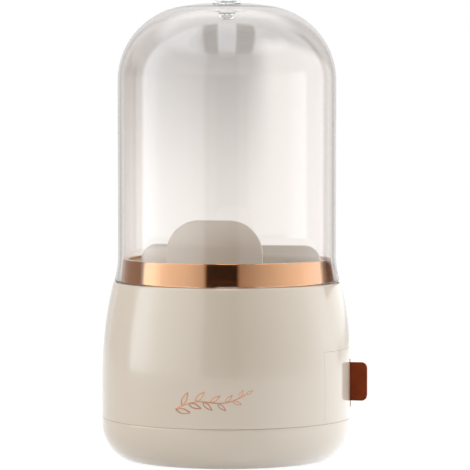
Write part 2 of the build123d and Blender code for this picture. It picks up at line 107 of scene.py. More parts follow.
def parts(vector):
    split = shader("SeparateXYZ", {0: vector})
    return [split[axis] for axis in "XYZ"]


def shades(share, first, second):  # from one colour to another
    return shader("Mix", {0: share, 6: first, 7: second}, 2, data_type="RGBA")


def mixed(share, first, second):  # from one shader to another
    return shader("MixShader", {0: share, 1: first, 2: second})


def smooth(value, ends):  # rises from 0 to 1 between two values
    sockets = {0: value, 1: ends[0], 2: ends[1]}
    return shader("MapRange", sockets, interpolation_type="SMOOTHSTEP")


def ramp(factor, stops):  # greys at places from 0 to 1
    made = shader("ValToRGB", {0: factor})
    elements = made.socket.node.color_ramp.elements
    for _ in stops[2:]:
        elements.new(0.5)
    for element, (place, shade) in zip(elements, stops):
        element.position = place
        element.color = (shade, shade, shade, 1)
    return made


def geometryTree(name, inputs):  # it also gets a shape and a material
    tree = building["tree"] = bpy.data.node_groups.new(name, "GeometryNodeTree")
    for label, kind in {"Geometry": "Geometry", **inputs, "Material": "Material"}.items():
        tree.interface.new_socket(label, in_out="INPUT", socket_type=f"NodeSocket{kind}")
    tree.interface.new_socket("Geometry", in_out="OUTPUT", socket_type="NodeSocketGeometry")
    return add("NodeGroupInput")


def closeTree(shape, given):  # every tree ends in real, smooth faces with one material
    real = geo("RealizeInstances", {"Geometry": geo("SetShadeSmooth", {"Geometry": shape})})
    painted = geo("SetMaterial", {"Geometry": real, "Material": given["Material"]})
    add("NodeGroupOutput", {"Geometry": painted})
    return building["tree"]


def clearedTree(thing):  # of a material or world
    thing.use_nodes = True
    building["tree"] = thing.node_tree
    thing.node_tree.nodes.clear()
    return thing


# Meshes

cleaning = dict(  # distances in metres, angles in degrees
    merge=1e-6, degenerate=1e-7, cadMerge=2e-6, cadFlat=0.6, sharp=35,
)


def newObject(name, data):
    made = bpy.data.objects.new(name, data)
    bpy.context.scene.collection.objects.link(made)
    return made


def newMesh(name, points, edges, faces):  # points in millimetres
    mesh = bpy.data.meshes.new(name)
    mesh.from_pydata([[c * mm for c in point] for point in points], edges, faces)
    return mesh


def smoothed(mesh):
    mesh.polygons.foreach_set("use_smooth", [True] * len(mesh.polygons))


def opened(mesh):
    shape = bmesh.new()
    shape.from_mesh(mesh)
    return shape


def shut(shape, mesh):
    shape.to_mesh(mesh)
    shape.free()


def shapePiece(name, shape, material):
    mesh = bpy.data.meshes.new(name)
    shut(shape, mesh)
    mesh.materials.append(material)
    return newObject(name, mesh)


def settled(piece):  # its modifiers become its mesh
    whole = piece.evaluated_get(bpy.context.evaluated_depsgraph_get())
    solid = bpy.data.meshes.new_from_object(whole)
    solid.name = piece.name
    old = piece.data
    piece.modifiers.clear()
    piece.data = solid
    bpy.data.meshes.remove(old)
    return piece


def grown(piece, tree, values):  # runs a geometry tree on a piece and keeps the result
    modifier = piece.modifiers.new("grow", "NODES")
    modifier.node_group = tree
    for item in tree.interface.items_tree:
        if item.in_out == "INPUT" and item.name in values:
            modifier[item.identifier] = values[item.name]
    bpy.context.view_layer.update()
    return settled(piece)


def polyline(name, points, closed=False):  # a mesh of edges
    last = len(points)
    edges = [(i, (i + 1) % last) for i in range(last if closed else last - 1)]
    return newObject(name, newMesh(name, points, edges, []))


def arcPoints(centre, radius, start, end, count):  # angles in degrees
    x, z = centre
    turns = [radians(start + (end - start) * i / count) for i in range(count + 1)]
    return [(x + radius * cos(a), z + radius * sin(a)) for a in turns]


def rounded(corners, closed=False, steps=4):  # corners are (x, z) or (x, z, radius of the corner)
    points = []
    last = len(corners)
    for i, corner in enumerate(corners):
        here = Vector(corner[:2])
        if len(corner) < 3 or (not closed and i in (0, last - 1)):
            points.append(tuple(here))
            continue
        back = (Vector(corners[i - 1][:2]) - here).normalized()
        on = (Vector(corners[(i + 1) % last][:2]) - here).normalized()
        half = acos(max(-1, min(1, back.dot(on)))) / 2
        reach = corner[2] / tan(half)
        centre = here + (back + on).normalized() * (corner[2] / sin(half))
        first, final = here + back * reach - centre, here + on * reach - centre
        spread = first.angle(final)
        for k in range(steps + 1):
            t = k / steps
            mix = (first * sin((1 - t) * spread) + final * sin(t * spread)) / sin(spread)
            points.append(tuple(centre + mix))
    return points


def spaced(points, gap):  # more points on the long stretches
    made = []
    for (x, z), (xOn, zOn) in zip(points, points[1:]):
        count = max(1, ceil(hypot(xOn - x, zOn - z) / gap))
        made += [(x + (xOn - x) * k / count, z + (zOn - z) * k / count) for k in range(count)]
    return made + [points[-1]]


def turnTree():  # turns a half section round the Z axis
    given = geometryTree("turnSection", {"Steps": "Int", "Path Radius": "Float"})
    circle = {"Resolution": given["Steps"], "Radius": given["Path Radius"]}
    path = geo("CurvePrimitiveCircle", circle)
    section = geo("MeshToCurve", {"Mesh": given["Geometry"]})
    skin = geo("CurveToMesh", {"Curve": path, "Profile Curve": section})
    merged = geo("MergeByDistance", {"Geometry": skin, "Distance": cleaning["merge"]})
    return closeTree(merged, given)


def standTree():  # a copy of one piece on every point
    given = geometryTree("standOnPoints", {"Piece": "Object"})
    piece = geo("ObjectInfo", {"Object": given["Piece"]})["Geometry"]
    spread = geo("InstanceOnPoints", {"Points": given["Geometry"], "Instance": piece})
    return closeTree(spread, given)


turning = dict(pathRadius=1, steps=160, tree=turnTree())
standing = standTree()


def outward(piece):  # merged, and its faces pointing out
    shape = opened(piece.data)
    bmesh.ops.remove_doubles(shape, verts=shape.verts, dist=cleaning["merge"])
    bmesh.ops.dissolve_degenerate(shape, edges=shape.edges, dist=cleaning["degenerate"])
    bmesh.ops.recalc_face_normals(shape, faces=shape.faces)
    shut(shape, piece.data)
    return piece


def turned(name, section, material, steps=turning["steps"]):
    # section runs through (radius, height) points, closed by the axis or by itself
    closed = section[0] == section[-1]
    points = [(x - turning["pathRadius"], -z, 0) for x, z in (section[:-1] if closed else section)]
    values = {"Steps": steps, "Path Radius": turning["pathRadius"] * mm, "Material": material}
    return outward(grown(polyline(name, points, closed), turning["tree"], values))


def meshPiece(name, points, faces, material):
    mesh = newMesh(name, points, [], faces)
    mesh.materials.append(material)
    smoothed(mesh)
    return outward(newObject(name, mesh))


def block(name, size, material):  # a box round the origin
    corners = [(x * size[0] / 2, y * size[1] / 2, z * size[2] / 2) for z in (-1, 1) for x, y in square]
    sides = [(k, (k + 1) % 4, (k + 1) % 4 + 4, k + 4) for k in range(4)]
    return meshPiece(name, corners, [(0, 1, 2, 3), (4, 5, 6, 7)] + sides, material)


def stood(name, piece, places):  # copies of a piece at these places
    values = {"Piece": piece, "Material": piece.data.materials[0]}
    made = grown(polyline(name, places), standing, values)
    bpy.data.objects.remove(piece)
    return outward(made)


def eased(piece, width, steps=2, turn=cleaning["sharp"]):  # rounds the sharp edges of a piece
    edge = piece.modifiers.new("edge", "BEVEL")
    edge.width = width * mm
    edge.segments = steps
    edge.limit_method = "ANGLE"
    edge.angle_limit = radians(turn)
    edge.harden_normals = True
    edge.use_clamp_overlap = True
    settled(piece).data.set_sharp_from_angle(angle=radians(turn))
    return piece


def weighed(piece):  # the large faces keep their slope beside small rounded edges
    piece.modifiers.new("weigh", "WEIGHTED_NORMAL").keep_sharp = True
    return settled(piece)


def joined(name, pieces):  # several meshes of one material as one piece
    material = pieces[0].data.materials[0]
    shape = bmesh.new()
    for piece in pieces:
        shape.from_mesh(piece.data)
        bpy.data.objects.remove(piece)
    return shapePiece(name, shape, material)


def dressed(node, name, material, edge):  # a CAD node's shape again, with rounded edges
    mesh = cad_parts[node].data.copy()
    shape = opened(mesh)
    bmesh.ops.remove_doubles(shape, verts=shape.verts, dist=cleaning["cadMerge"])
    flat = radians(cleaning["cadFlat"])
    bmesh.ops.dissolve_limit(shape, angle_limit=flat, verts=shape.verts, edges=shape.edges)
    shut(shape, mesh)
    if "custom_normal" in mesh.attributes:
        mesh.attributes.remove(mesh.attributes["custom_normal"])
    mesh.materials.clear()
    mesh.materials.append(material)
    smoothed(mesh)
    return eased(newObject(name, mesh), edge)


def placed(piece, body, slot, *nodes):  # the piece rides on a body in place of CAD nodes
    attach(piece, body)
    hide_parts(*nodes)


# Finishes

def newMaterial(name):
    return clearedTree(bpy.data.materials.new(name))


def finish(name, build, **look):  # build lays the nodes from the object's own place
    material = newMaterial(name)
    build(shader("TexCoord", output=3), **look)
    return material


def noise(place, scale, detail=3, rough=0.5):
    sockets = {"Vector": place, "Scale": scale, "Detail": detail, "Roughness": rough}
    return shader("TexNoise", sockets)


def haze(place, scale):
    return noise(place, scale, detail=4, rough=0.6)


def bump(height, depth):
    return shader("Bump", {"Height": height, "Distance": depth * mm})


def finished(sockets):
    shader("OutputMaterial", {"Surface": shader("BsdfPrincipled", sockets)})


def mouldedPlastic(place, ior=1.5, coat=0, coatRoughness=0.3, **look):
    cloud = noise(place, look["cloudScale"])
    peel = noise(place, look["peelScale"], detail=2)
    grain = noise(place, look["grainScale"], detail=1)
    finished({
        "Base Color": shades(cloud, look["shade"], look["colour"]),
        "Roughness": look["roughness"] + (cloud - 0.5) * look["spread"],
        "IOR": ior,
        "Coat Weight": coat,
        "Coat Roughness": coatRoughness,
        "Normal": bump(peel + grain * look["grainShare"], look["peelDepth"]),
    })


def platedMetal(place, stretch=(1, 1, 1), **look):
    cloud = haze(place, look["hazeScale"])
    stretched = shader("Mapping", {"Vector": place, "Scale": stretch})
    lines = noise(stretched, look["lineScale"], detail=2)
    finished({
        "Base Color": shades(cloud, look["shade"], look["colour"]),
        "Metallic": 1,
        "Roughness": look["roughness"] + cloud * look["spread"],
        "Normal": bump(lines, look["lineDepth"]),
    })


def clearPlastic(place, **look):
    skin = shader("BsdfPrincipled", {
        "Base Color": look["colour"],
        "Roughness": look["roughness"] + haze(place, look["hazeScale"]) * look["spread"],
        "IOR": look["ior"],
        "Transmission Weight": 1,
        "Normal": bump(noise(place, look["waveScale"], detail=1), look["waveDepth"]),
    })
    through = shader("BsdfTransparent", {"Color": look["through"]})
    path = shader("LightPath")
    plain = step("MAXIMUM", path["Is Shadow Ray"], path["Is Diffuse Ray"])
    x, y, z = parts(place)
    height = z / mm
    glued = (
        step("LESS_THAN", step("SQRT", x * x + y * y) / mm, glue["radius"])
        * step("LESS_THAN", height, knobSeat + glue["over"])
        * step("GREATER_THAN", height, knobSeat - glue["depth"])
    )
    both = mixed(step("MAXIMUM", plain, glued), skin, through)
    inside = shader("VolumeAbsorption", {"Color": look["tint"], "Density": look["density"]})
    shader("OutputMaterial", {"Surface": both, "Volume": inside})


def leather(place, **look):
    bent = noise(place, look["grainScale"] / 3, detail=2)["Color"]
    bend = {0: bent, 1: (look["bend"] * mm,) * 3, 2: place}
    pulled = shader("VectorMath", bend, operation="MULTIPLY_ADD")
    grain = {"Vector": pulled, "Scale": look["grainScale"], "Smoothness": look["grainSoft"]}
    cells = shader("TexVoronoi", grain, feature="SMOOTH_F1")
    pores = noise(place, look["poreScale"], detail=2)
    wear = ramp(haze(place, look["cloudScale"]), look["wear"])
    hide = shades(wear, look["shade"], look["colour"])
    finished({
        # the grain's creases are painted darker: painted shade in the hollows, on top of the bump's own
        # shading
        "Base Color": shades(cells * look["creaseShare"], hide, look["shade"]),
        "Roughness": look["roughness"] + cells * look["spread"],
        "IOR": look["ior"],
        "Normal": bump(1 - cells + pores * look["poreShare"], look["grainDepth"]),
    })


glue = dict(radius=3.5, over=0.02, depth=5.6)  # holds the knob in the dome and leaves no air
spigotLength = 5
knobSeat = nodeBox("dome_knob")[0].z + spigotLength  # the floor of the dome's dimple
finishes = {
    "shell": finish(
        "creamShell", mouldedPlastic, colour=(0.79, 0.712, 0.612), shade=(0.765, 0.686, 0.584),
        cloudScale=22, roughness=0.2, spread=0.08, coat=0.6, coatRoughness=0.06, peelScale=380,
        grainScale=5200, grainShare=0.12, peelDepth=0.012,
    ),
    "inner": finish(
        "satinInner", mouldedPlastic, colour=(0.86, 0.81, 0.75), shade=(0.83, 0.78, 0.72),
        cloudScale=30, roughness=0.36, spread=0.1, coat=0.1, peelScale=900, grainScale=6000,
        grainShare=0.5, peelDepth=0.02,
    ),
    "race": finish(
        "mouldedRace", mouldedPlastic, colour=(0.62, 0.61, 0.58), shade=(0.56, 0.55, 0.52),
        cloudScale=60, roughness=0.5, spread=0.1, ior=1.45, peelScale=1500, grainScale=7000,
        grainShare=0.6, peelDepth=0.03,
    ),
    "rubber": finish(
        "softRubber", mouldedPlastic, colour=(0.10, 0.095, 0.09), shade=(0.07, 0.066, 0.062),
        cloudScale=90, roughness=0.72, spread=0.15, peelScale=2600, grainScale=8000,
        grainShare=0.8, peelDepth=0.05,
    ),
    "ring": finish(
        "roseGoldRing", platedMetal, colour=(0.67, 0.36, 0.165), shade=(0.61, 0.315, 0.135),
        hazeScale=260, roughness=0.03, spread=0.05, stretch=(1, 1, 30), lineScale=30,
        lineDepth=0.004,
    ),
    "foil": finish(
        "roseGoldFoil", platedMetal, colour=(0.62, 0.33, 0.21), shade=(0.5, 0.25, 0.15),
        hazeScale=900, roughness=0.3, spread=0.2, lineScale=2500, lineDepth=0.01,
    ),
    "screw": finish(
        "zincScrew", platedMetal, colour=(0.58, 0.58, 0.58), shade=(0.48, 0.48, 0.47),
        hazeScale=700, roughness=0.28, spread=0.15, stretch=(1, 1, 8), lineScale=900,
        lineDepth=0.01,
    ),
    "ball": finish(
        "polishedBall", platedMetal, colour=(0.64, 0.64, 0.65), shade=(0.58, 0.58, 0.6),
        hazeScale=900, roughness=0.06, spread=0.06, lineScale=900, lineDepth=0.002,
    ),
    "dome": finish(
        "clearDome", clearPlastic, colour=(0.955, 0.937, 0.92), roughness=0, spread=0.02, ior=1.49,
        hazeScale=40, waveScale=14, waveDepth=0.08, through=(0.98, 0.975, 0.97),
        tint=(0.80, 0.72, 0.67), density=60,
    ),
    "knob": finish(
        "cutKnob", clearPlastic, colour=(0.985, 0.987, 0.975), roughness=0, spread=0.01, ior=1.49,
        hazeScale=90, waveScale=40, waveDepth=0, through=(0.94, 0.95, 0.94),
        tint=(0.70, 0.80, 0.72), density=6,
    ),
    "leather": finish(
        "rustLeather", leather, colour=(0.27, 0.043, 0.006), shade=(0.165, 0.025, 0.0035),
        cloudScale=160, grainScale=1900, grainSoft=0.35, bend=0.25, poreScale=5200, poreShare=0.25,
        # creaseShare sets how much painted shade darkens the grain's creases
        wear=[(0.3, 0.35), (0.62, 1)], creaseShare=0.5, roughness=0.45, spread=0.25, ior=1.25,
        grainDepth=0.05,
    ),
    "paintedEdge": finish(
        "paintedEdge", mouldedPlastic, colour=(0.46, 0.12, 0.035), shade=(0.36, 0.085, 0.022),
        cloudScale=300, roughness=0.4, spread=0.1, ior=1.45, peelScale=1800, grainScale=7000,
        grainShare=0.4, peelDepth=0.02,
    ),
}
print("finishes made:", len(finishes))


# Foot: an open dish with a boss and a ring rib, and the soft pad under it

foot = dict(
    cornerRadius=24, cornerHeight=21.4, wall=2.4, edge=0.8, rim=0.06, bossRadius=9, bossTop=11.5,
    bossEdge=0.4, pinRadius=4.05, ribIn=36.8, ribOut=39.2, ribFoot=0.5, ribEdge=0.3, recessGap=0.3,
    recessEdge=0.3, recessTop=0.1, rowGap=3, arcSteps=26, screwCircle=46,
    screwTurns=(45, 135, 225, 315), lipInset=0.18, lipHeight=0.2,
)
posts = dict(radius=4.2, bore=1.55, boreEdge=0.1, endWall=2.1, steps=32)
pad = dict(
    edge=0.4, topEdge=0.2, grooves=(14, 28, 42), grooveWidth=1.2, grooveDepth=0.5, grooveEdge=0.2,
    grooveFoot=0.15,
)


def footSection():
    low, high = nodeBox("foot_pan")
    padHigh = nodeBox("anti_slip_pad")[1]
    raceBottom = nodeBox("lower_race")[0].z
    wall, edge, rim, radius = foot["wall"], foot["edge"], foot["rim"], foot["cornerRadius"]
    floorTop = low.z + wall
    centre = (high.x - radius, foot["cornerHeight"])
    outTurn = degrees(asin((centre[1] - low.z) / radius))
    inTurn = degrees(asin((centre[1] - floorTop) / (radius - wall)))
    outer = arcPoints(centre, radius, -outTurn, 0, foot["arcSteps"])
    inner = arcPoints(centre, radius - wall, 0, -inTurn, foot["arcSteps"])
    recess = padHigh.x + foot["recessGap"]
    lip, lipTop = high.x - foot["lipInset"], high.z + foot["lipHeight"]
    corners = [
        (0, padHigh.z), (recess, padHigh.z, foot["recessTop"]), (recess, low.z, foot["recessEdge"]),
        (*outer[0], edge), *outer[1:], (high.x, high.z, rim), (lip, high.z), (lip, lipTop),
        (high.x - wall, lipTop, rim), *inner[:-1], (*inner[-1], edge),
        (foot["ribOut"], floorTop, foot["ribFoot"]), (foot["ribOut"], raceBottom, foot["ribEdge"]),
        (foot["ribIn"], raceBottom, foot["ribEdge"]), (foot["ribIn"], floorTop, foot["ribFoot"]),
        (foot["bossRadius"], floorTop, edge), (foot["bossRadius"], foot["bossTop"], foot["bossEdge"]),
        (foot["pinRadius"], foot["bossTop"], foot["bossEdge"]), (foot["pinRadius"], floorTop),
        (0, floorTop),
    ]
    return spaced(rounded(corners), foot["rowGap"])


def padSection():
    high = nodeBox("anti_slip_pad")[1]
    half, deep = pad["grooveWidth"] / 2, pad["grooveDepth"]
    edge, under = pad["grooveEdge"], pad["grooveFoot"]
    corners = [(0, high.z), (high.x, high.z, pad["topEdge"]), (high.x, 0, pad["edge"])]
    for at in reversed(pad["grooves"]):
        corners += [
            (at + half, 0, edge), (at + half, deep, under), (at - half, deep, under),
            (at - half, 0, edge),
        ]
    return spaced(rounded(corners + [(0, 0)]), foot["rowGap"])


def post(radius, depth, height):  # stands on the origin, its bore from below
    bore = posts["bore"]
    section = [
        (bore, 0, posts["boreEdge"]), (radius, 0), (radius, height), (0, height), (0, depth),
        (bore, depth), (bore, 0),
    ]
    return turned("post", rounded(section), finishes["shell"], posts["steps"])


def roundPlaces(circle, turns, z):
    return [(circle * cos(radians(t)), circle * sin(radians(t)), z) for t in turns]


def footPosts():  # they carry the lower race
    low, high = nodeBox("foot_pan")[0].z + foot["wall"], nodeBox("lower_race")[0].z
    whole = post(posts["radius"], high - low - posts["endWall"], high - low)
    for vertex in whole.data.vertices:  # the screws enter these from above
        vertex.co.z = (high - low) * mm - vertex.co.z
    places = roundPlaces(foot["screwCircle"], foot["screwTurns"], low)
    return stood("foot_posts", outward(whole), places)


dish = turned("dish", footSection(), finishes["shell"])
placed(joined("foot_dish", [dish, footPosts()]), "foot", "shell_plastic", "foot_pan")
placed(turned("grip_pad", padSection(), finishes["rubber"]), "foot", "pad_rubber", "anti_slip_pad")
print("foot made")


# Body: a side that leans in to the shoulder, with the neck above it and the bay cut out of it

body = dict(
    wall=2.4, neckWall=2, straight=23.8, leanRadius=236.7, shoulderEdge=1.4, shoulderRow=2.6,
    innerRound=1, neckFoot=0.3, neckEdge=0.4, neckIn=0.5, neckGap=0.05, ringLedge=2.8,
    lowEdge=0.06, lowIn=0.6, edgeSteps=5, rowGap=2.4, backColumns=150, bayColumns=34, bayEdge=0.05,
    bayGap=0.08, baySteps=3, baySharp=50, postTurn=50, postInset=0.3, lowPost=14, lowBore=9.5,
    highBore=8.8, highPostGap=0.3,
)
bodyLow, bodyHigh = nodeBox("body_shell")
ringLow, ringHigh = nodeBox("trim_ring")
frontLow, frontHigh = nodeBox("drawer_front")
bodyRadius = max(bodyHigh.x, bodyHigh.y)
leanStart = bodyLow.z + body["straight"]
shoulderTop = ringLow.z
neckRadius = ringHigh.x - body["ringLedge"]
neckIn = neckRadius - body["neckWall"]
bayHalf = frontHigh.y + body["bayGap"]
bayTop = frontHigh.z + body["bayGap"]
sameSpot = 0.01  # places nearer than this are one


def sideRadius(z, inset=0):  # the body's side at a height
    if z <= leanStart:
        return bodyRadius - inset
    lean = body["leanRadius"] - inset
    return bodyRadius - body["leanRadius"] + sqrt(lean**2 - (z - leanStart) ** 2)


def heights(low, high, gap):
    count = max(1, ceil((high - low) / gap))
    return [low + (high - low) * k / count for k in range(count + 1)]


def bodyRows():
    # the outer and inner side row by row, from the bottom up to the bay's top and on to the shoulder
    wall, under = body["wall"], shoulderTop - body["wall"]
    lower = heights(bodyLow.z, bayTop, body["rowGap"])
    lower = [lower[0], lower[0] + body["lowEdge"], *lower[1:]]
    upper = heights(bayTop, under - body["innerRound"], body["rowGap"])[1:]
    outLow, outUp = ([(sideRadius(z), z) for z in rows] for rows in (lower, upper))
    inLow, inUp = ([(sideRadius(z, wall), z) for z in rows] for rows in (lower, upper))
    outLow[0] = (outLow[0][0] - body["lowEdge"] * body["lowIn"], outLow[0][1])
    row = shoulderTop - body["shoulderRow"]
    over = rounded([
        outUp[-1], (sideRadius(row), row), (sideRadius(shoulderTop), shoulderTop, body["shoulderEdge"]),
        (neckRadius, shoulderTop, body["neckFoot"]), (neckRadius, bodyHigh.z, body["neckEdge"]),
        (neckIn, bodyHigh.z, body["neckEdge"]), (neckIn, under, body["neckIn"]),
        (sideRadius(under, wall), under, body["innerRound"]), inUp[-1],
    ], steps=body["edgeSteps"])
    return outLow, outUp[:-1] + over + inUp[-2::-1], inLow


def bodyShell():
    outLow, arch, inLow = bodyRows()
    loop = outLow + arch + inLow[::-1]
    hood = [outLow[-1]] + arch + [inLow[-1]]
    points, faces = [], []

    def column(path, share, front):  # one line of points, front is within the bay's width
        for radius, z in path:
            edge = asin(bayHalf / radius)
            angle = edge * share if front else edge + (2 * pi - 2 * edge) * share
            points.append((radius * cos(angle), radius * sin(angle), z))
        return len(points) - len(path)

    def strips(starts, count):
        for here, on in zip(starts, starts[1:]):
            for k in range(count):
                up = (k + 1) % count
                faces.append((here + k, on + k, on + up, here + up))

    def onBay(vertex):
        x, y, z = vertex.co / mm
        return abs(abs(y) - bayHalf) < sameSpot and x > 0 or abs(z - bayTop) < sameSpot

    back = [column(loop, k / body["backColumns"], False) for k in range(body["backColumns"] + 1)]
    strips(back, len(loop))
    half = body["bayColumns"] // 2
    strips([column(hood, k / half, True) for k in range(-half, half + 1)], len(hood))
    for start in (back[0], back[-1]):  # the bay's two side faces
        end = start + len(loop) - 1
        faces += [(start + k, start + k + 1, end - k - 1, end - k) for k in range(len(outLow) - 1)]
    shell = meshPiece("shell_wall", points, faces, finishes["shell"])
    shape = opened(shell.data)
    rims = [
        e for e in shape.edges
        if len(e.link_faces) == 2 and e.calc_face_angle() > radians(body["baySharp"])
        and all(onBay(v) for v in e.verts)
    ]
    bmesh.ops.bevel(
        shape, geom=rims, offset=body["bayEdge"] * mm, segments=body["baySteps"], profile=0.5,
        affect="EDGES", clamp_overlap=True,
    )
    shut(shape, shell.data)
    smoothed(shell.data)
    return weighed(shell)


def bodyPosts():  # the floor is screwed to the low ones and the deck to the high ones
    turns = [side + body["postTurn"] * way for side in (0, 180) for way in (1, -1)]
    radius, inside = posts["radius"], bodyRadius - body["wall"]
    floorTop, deckTop = nodeBox("body_floor")[1].z, nodeBox("deck_frame")[1].z
    high = shoulderTop - body["wall"] / 2 - deckTop
    rows = (
        (inside + body["postInset"] - radius, floorTop, body["lowBore"], body["lowPost"]),
        (neckIn + radius + body["highPostGap"], deckTop, body["highBore"], high),
    )
    return [stood("posts", post(radius, bore, height), roundPlaces(circle, turns, z))
            for circle, z, bore, height in rows]


sideShell = joined("side_shell", [bodyShell(), *bodyPosts()])
placed(sideShell, "body", "shell_plastic", "body_shell")
print("body made:", len(sideShell.data.polygons), "faces")


# Trim ring: a cone round the neck with a lip over its top

ring = dict(headStep=1.4, edge=0.5, footEdge=0.25, neckEdge=0.1, closeAt=1, rowGap=2.5, steps=224)
ringIn, closeZ = neckRadius + body["neckGap"], ringLow.z + ring["closeAt"]
ringSection = rounded([
    (ringIn, closeZ), (ringIn, ringLow.z, ring["neckEdge"]), (ringHigh.x, ringLow.z, ring["footEdge"]),
    (ringHigh.x - ring["headStep"], ringHigh.z, ring["edge"]), (neckIn, ringHigh.z, ring["edge"]),
    (neckIn, bodyHigh.z, ring["neckEdge"]), (ringIn, bodyHigh.z, ring["neckEdge"]), (ringIn, closeZ),
])
trimRing = turned("gold_ring", spaced(ringSection, ring["rowGap"]), finishes["ring"], ring["steps"])
placed(trimRing, "body", "ring_metal", "trim_ring")
print("ring made")


# Dome: a clear shell with a flared rim, a dimple for the knob and a boss under it

dome = dict(
    wall=2.2, flareWidth=2.4, flareHeight=16.4, flareBend=0.55, flareSteps=18, sideHeight=120.8,
    rowGap=5, turnRadius=45.4, turnSteps=40, crownRadius=160, crownSteps=8, dimpleRadius=14,
    flatRadius=5, dipSteps=12, topSlopes=((-10, 0.9), (-9, 0)),
    underSlopes=((-8, 0.7), (-0.5, -8)), bossRadius=4.8, bossDepth=5.5, bossEdge=3.6, bossSteps=10,
    holeRadius=2.25, holeDepth=5.3, holeEdge=0.2, rimEdge=0.7, steps=200,
)
domeLow, domeHigh = nodeBox("dome_cover")
knobLow, knobHigh = nodeBox("dome_knob")
domeRadius = domeHigh.x - dome["flareWidth"]


def domeLine(inset):  # from the rim up to the edge of the dimple
    flare = []
    for k in range(dome["flareSteps"] + 1):
        share = k / dome["flareSteps"]
        bent = share ** dome["flareBend"]
        width = dome["flareWidth"] * (1 - bent * bent * (3 - 2 * bent))
        flare.append((domeRadius + width - inset, domeLow.z + dome["flareHeight"] * share))
    turnX = domeRadius - dome["turnRadius"]
    turnZ = domeLow.z + dome["sideHeight"]
    reach = dome["crownRadius"] - dome["turnRadius"]
    lean = degrees(acos(turnX / reach))
    crownZ = turnZ - reach * sin(radians(lean))
    crownEnd = degrees(acos(dome["dimpleRadius"] / dome["crownRadius"]))
    side = [(domeRadius - inset, z) for z in heights(flare[-1][1], turnZ, dome["rowGap"])[1:-1]]
    turn = arcPoints((turnX, turnZ), dome["turnRadius"] - inset, 0, lean, dome["turnSteps"])
    crownRadius = dome["crownRadius"] - inset
    crown = arcPoints((0, crownZ), crownRadius, lean, crownEnd, dome["crownSteps"])
    return flare + side + turn + crown[1:]


def easedDip(start, end, slopes, count):  # a smooth curve between two tangents
    made = []
    for k in range(1, count + 1):
        t = k / count
        a, b = 2 * t**3 - 3 * t**2 + 1, t**3 - 2 * t**2 + t
        c, d = 3 * t**2 - 2 * t**3, t**3 - t**2
        spot = (a * start[i] + b * slopes[0][i] + c * end[i] + d * slopes[1][i] for i in (0, 1))
        made.append(tuple(spot))
    return made


def domeSection():
    outer, inner = domeLine(0), domeLine(dome["wall"])
    bossZ = knobSeat - dome["wall"] - dome["bossDepth"]
    end, bossX, holeX = dome["bossEdge"], dome["bossRadius"], dome["holeRadius"]
    holeZ = knobSeat - dome["holeDepth"]
    top = easedDip(outer[-1], (dome["flatRadius"], knobSeat), dome["topSlopes"], dome["dipSteps"])
    under = easedDip(inner[-1], (bossX, bossZ + end), dome["underSlopes"], dome["dipSteps"])
    under += arcPoints((bossX - end, bossZ + end), end, 0, -90, dome["bossSteps"])[1:]
    hole = [(holeX, knobSeat, dome["holeEdge"]), (holeX, holeZ), (0, holeZ)]
    rim = [(*inner[0], dome["rimEdge"]), (*outer[0], dome["rimEdge"])]
    return rounded([(0, bossZ), *under[::-1], *inner[:0:-1], *rim, *outer[1:], *top, *hole])


clearDome = turned("clear_dome", domeSection(), finishes["dome"], dome["steps"])
placed(clearDome, "dome", "clear_plastic", "dome_cover")

knob = dict(
    rings=[  # radius share, above the foot (0) or the top (1), height, turned by, sides
        (0.62, 1, 0, 0.5, 8), (0.9, 1, -0.9, 0.25, 16), (1, 1, -1.9, 0, 16), (1, 1, -2.9, 0, 16),
        (0.74, 0, 0.8, 0.25, 16), (0.74 * 0.62, 0, 0, 0.5, 8),
    ],
    lift=1.8, stemRadius=3.4, stemEdge=0.3, stemInside=0.2, stemSteps=48,
    spigotRadius=2.2, seatEdge=0.1,
)


def cutKnob():
    low, radius = knobSeat + knob["lift"], knobHigh.x
    shape = bmesh.new()
    for share, upper, height, turn, sides in knob["rings"]:
        z = (knobHigh.z if upper else low) + height
        for k in range(sides):
            angle = 2 * pi * (k + turn) / sides
            spot = (radius * share * cos(angle), radius * share * sin(angle), z)
            shape.verts.new([c * mm for c in spot])
    bmesh.ops.convex_hull(shape, input=shape.verts)
    bmesh.ops.dissolve_limit(shape, angle_limit=radians(1), verts=shape.verts, edges=shape.edges)
    head = shapePiece("knob_head", shape, finishes["knob"])
    spigotX, stemX, stemTop = knob["spigotRadius"], knob["stemRadius"], low + knob["stemInside"]
    section = rounded([
        (0, knobLow.z), (spigotX, knobLow.z, knob["stemEdge"]), (spigotX, knobSeat, knob["seatEdge"]),
        (stemX, knobSeat, knob["stemEdge"]), (stemX, stemTop), (0, stemTop),
    ])
    stem = turned("knob_stem", section, finishes["knob"], knob["stemSteps"])
    return joined("crystal_knob", [head, stem])


placed(cutKnob(), "dome", "clear_plastic", "dome_knob")
print("dome made")


# Organiser: the cup with its upright ribs, and the panels

cup = dict(
    wall=1.8, floor=2, edge=0.6, footEdge=1, floorEdge=1.2, rowGap=3, keeperHeight=34,
    keeperWidth=3, keeperThick=1.2, keeperEdge=0.2, panelThick=2, panelEdge=0.45, play=0.3,
)
cupLow, cupHigh = nodeBox("organiser_cup")
cupInner = cupHigh.x - cup["wall"]
cupFloor = cupLow.z + cup["floor"]


def keeperPlaces(plane, sides):  # a pair of ribs at each end of a panel
    places = []
    apart = (cup["panelThick"] + cup["keeperThick"] + cup["play"]) / 2
    for side in sides:
        for across in (plane - apart, plane + apart):
            along = side * (sqrt(cupInner**2 - across**2) - cup["keeperWidth"] / 2 + cup["wall"] / 2)
            places.append((along, across))
    return places


def keepers(places, wide, thick):
    rib = block("rib", (wide, thick, cup["keeperHeight"]), finishes["inner"])
    points = [(x, y, cupFloor + cup["keeperHeight"] / 2) for x, y in places]
    return eased(stood("ribs", rib, points), cup["keeperEdge"])


def panelPlane(node):
    low, high = nodeBox(node)
    return (low.y + high.y) / 2


